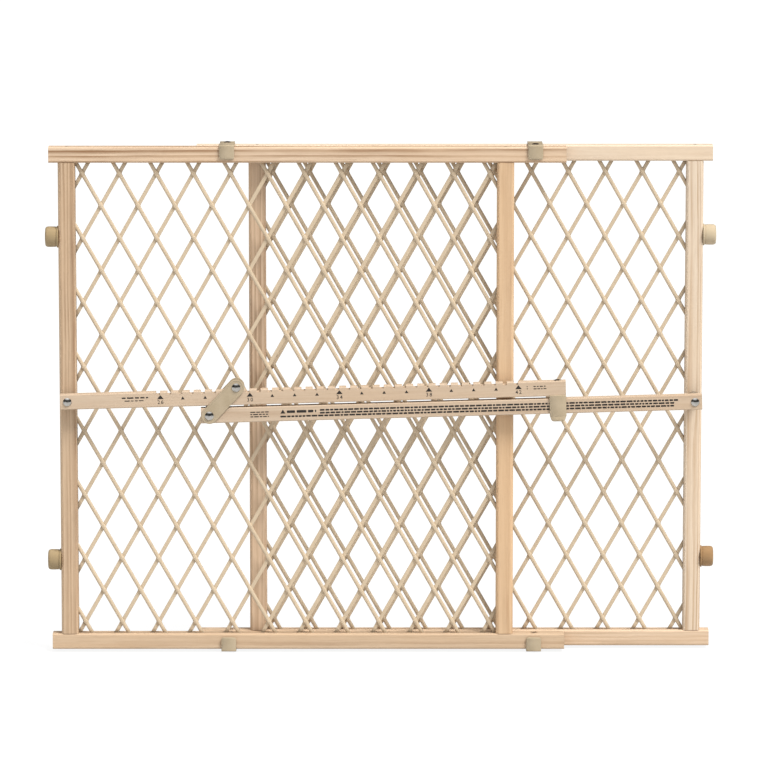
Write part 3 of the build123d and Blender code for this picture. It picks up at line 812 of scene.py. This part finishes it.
def dress():
    """Puts the materials and the new pieces on the gate."""
    finish_woods()
    netting = plastic("lattice_plastic", NETTING, NETTING_SHADE, 0.42, 160, 0.003 * MM)
    for side in ("front", "rear"):
        lattice(f"{side}_lattice", f"{side}_panel", netting)

    skin = {"roughness": 0.5, "scale": 420, "depth": 0.02 * MM}
    # painted shade: the left-hand bumpers take the darkened copy of the rubber
    rubber = plastic("bumper_rubber", PAINTED_SHADE_RUBBER, PAINTED_SHADE_RUBBER_MOTTLE, **skin)
    tan = plastic("tan_bumper_rubber", TAN_RUBBER, TAN_RUBBER_SHADE, **skin)
    pale = plastic("pale_bumper_rubber", PALE_RUBBER, PALE_RUBBER_SHADE, **skin)
    bumper("front_upper_bumper", "front_panel", rubber)
    bumper("front_lower_bumper", "front_panel", rubber)
    bumper("rear_upper_bumper", "rear_panel", pale)
    bumper("rear_lower_bumper", "rear_panel", tan)

    paint = enamel("clip_enamel", OLIVE, OLIVE_SHADE)
    for side in ("front", "rear"):
        for level in ("upper", "lower"):
            clip(f"{side}_{level}_clip", f"{side}_panel", paint)
    catch("notched_bar", paint)
    lever_plate("lever_front_plate", "lever", paint, -1)
    lever_plate("lever_back_plate", "lever", paint, 1)

    bright = metal("bright_nickel", NICKEL, NICKEL_DULL, 0.16, 0.32)
    for node in ("left_pivot_rivet", "right_pivot_rivet", "lever_pivot_rivet", "lever_pin"):
        wear(node, bright)
    zinc = metal("zinc_plate", ZINC, ZINC_DULL, 0.28, 0.46)
    for side in ("left", "right"):
        wear(f"{side}_pivot_spacer", zinc)
        wear(f"{side}_pivot_washer", zinc)
    brown = metal("browned_steel", BROWNED, BROWNED_DULL, 0.3, 0.5)
    for side in ("front", "rear"):
        for kind in ("clip_rivets", "frame_nails", "bumper_screws"):
            wear(f"{side}_{kind}", brown)
    wear("catch_screw", brown)

    black = ink("print_ink", PRINT_BLACK)
    scale_print(black)
    small_print(black)


dress()

# ---------------------------------------------------------------- floor, light and camera

FLOOR_SIZE = 90
FLOOR_COLOUR = (0.55, 0.55, 0.545, 1)
FLOOR_GLOW = 1.12
FLOOR_GLOW_SHARE = 0.8  # of what the camera sees of the floor
SURROUND_COLOUR = (1.0, 0.995, 0.985, 1)
SURROUND_STRENGTH = 0.66
BACKING_STRENGTH = 1.1
ROOM = ((0.62, 0.04), (0.95, 1.6))  # brightness in glossy reflections, from low to high up
WHITE = (1, 1, 1, 1)


def backdrop():
    """A plain floor: white to the camera with a faint contact shadow, greyer as a reflector."""
    bpy.ops.mesh.primitive_plane_add(size=FLOOR_SIZE)
    floor = bpy.context.object
    floor.name = "floor"
    material = bpy.data.materials.new("floor_paper")
    material.use_nodes = True
    tree = material.node_tree
    tree.nodes.clear()
    output = tree.nodes.new("ShaderNodeOutputMaterial")
    paper = tree.nodes.new("ShaderNodeBsdfDiffuse")
    paper.inputs["Color"].default_value = FLOOR_COLOUR
    glow = tree.nodes.new("ShaderNodeEmission")
    glow.inputs["Color"].default_value = WHITE
    glow.inputs["Strength"].default_value = FLOOR_GLOW
    rays = tree.nodes.new("ShaderNodeLightPath")
    share = tree.nodes.new("ShaderNodeMath")
    share.operation = "MULTIPLY"
    share.inputs[1].default_value = FLOOR_GLOW_SHARE
    mixed = tree.nodes.new("ShaderNodeMixShader")
    tree.links.new(rays.outputs["Is Camera Ray"], share.inputs[0])
    tree.links.new(share.outputs[0], mixed.inputs["Fac"])
    tree.links.new(paper.outputs[0], mixed.inputs[1])
    tree.links.new(glow.outputs[0], mixed.inputs[2])
    tree.links.new(mixed.outputs[0], output.inputs["Surface"])
    floor.data.materials.append(material)


def sun(name, strength, spread, elevation, azimuth):
    """A soft sun, with its angles in degrees. Azimuth 0 is from the front, 90 from the right."""
    light = bpy.data.lights.new(name, "SUN")
    light.energy = strength
    light.angle = math.radians(spread)
    made = bpy.data.objects.new(name, light)
    a, e = math.radians(azimuth), math.radians(elevation)
    way = Vector((math.sin(a) * math.cos(e), -math.cos(a) * math.cos(e), math.sin(e)))
    made.rotation_mode = "QUATERNION"
    made.rotation_quaternion = way.to_track_quat("Z", "Y")
    made.visible_glossy = False
    bpy.context.scene.collection.objects.link(made)


def studio_world():
    """Even pale surroundings, a room with a dark lower half in glossy rays, white to the camera."""
    world = bpy.data.worlds.new("studio")
    bpy.context.scene.world = world
    world.use_nodes = True
    tree = world.node_tree
    tree.nodes.clear()
    link = tree.links.new
    output = tree.nodes.new("ShaderNodeOutputWorld")
    even = tree.nodes.new("ShaderNodeBackground")
    even.inputs["Color"].default_value = SURROUND_COLOUR
    even.inputs["Strength"].default_value = SURROUND_STRENGTH
    room = tree.nodes.new("ShaderNodeBackground")
    ramp = tree.nodes.new("ShaderNodeValToRGB")
    for element, (height, brightness) in zip(ramp.color_ramp.elements, ROOM):
        element.position = height
        element.color = (brightness, brightness, brightness, 1)
    place = tree.nodes.new("ShaderNodeTexCoord")
    parts = tree.nodes.new("ShaderNodeSeparateXYZ")
    link(place.outputs["Generated"], parts.inputs[0])
    link(parts.outputs["Z"], ramp.inputs["Fac"])
    link(ramp.outputs["Color"], room.inputs["Color"])
    rays = tree.nodes.new("ShaderNodeLightPath")
    mixed = tree.nodes.new("ShaderNodeMixShader")
    link(rays.outputs["Is Glossy Ray"], mixed.inputs["Fac"])
    link(even.outputs[0], mixed.inputs[1])
    link(room.outputs[0], mixed.inputs[2])
    backing = tree.nodes.new("ShaderNodeBackground")
    backing.inputs["Color"].default_value = WHITE
    backing.inputs["Strength"].default_value = BACKING_STRENGTH
    seen = tree.nodes.new("ShaderNodeMixShader")
    link(rays.outputs["Is Camera Ray"], seen.inputs["Fac"])
    link(mixed.outputs[0], seen.inputs[1])
    link(backing.outputs[0], seen.inputs[2])
    link(seen.outputs[0], output.inputs["Surface"])


def camera():
    """A long lens from in front and a little above."""
    view_width = 0.8735  # metres across the frame at the front panel's face
    distance = 6.0
    elevation = math.radians(8.6)
    aim = Vector((0.0032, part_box("front_top_rail")[0].y, 0.3112))  # on the front panel's face
    data = bpy.data.cameras.new("camera")
    data.sensor_width = 36
    data.lens = data.sensor_width * distance / view_width
    data.clip_end = 200
    made = bpy.data.objects.new("camera", data)
    back = Vector((0, -math.cos(elevation), math.sin(elevation)))
    made.location = aim + back * distance
    made.rotation_mode = "QUATERNION"
    made.rotation_quaternion = back.to_track_quat("Z", "Y")
    bpy.context.scene.collection.objects.link(made)
    bpy.context.scene.camera = made


backdrop()
studio_world()
sun("key", strength=4.1, spread=24, elevation=55, azimuth=50)
sun("fill", strength=0.4, spread=90, elevation=35, azimuth=-30)
camera()
bpy.context.scene.view_settings.view_transform = "Standard"
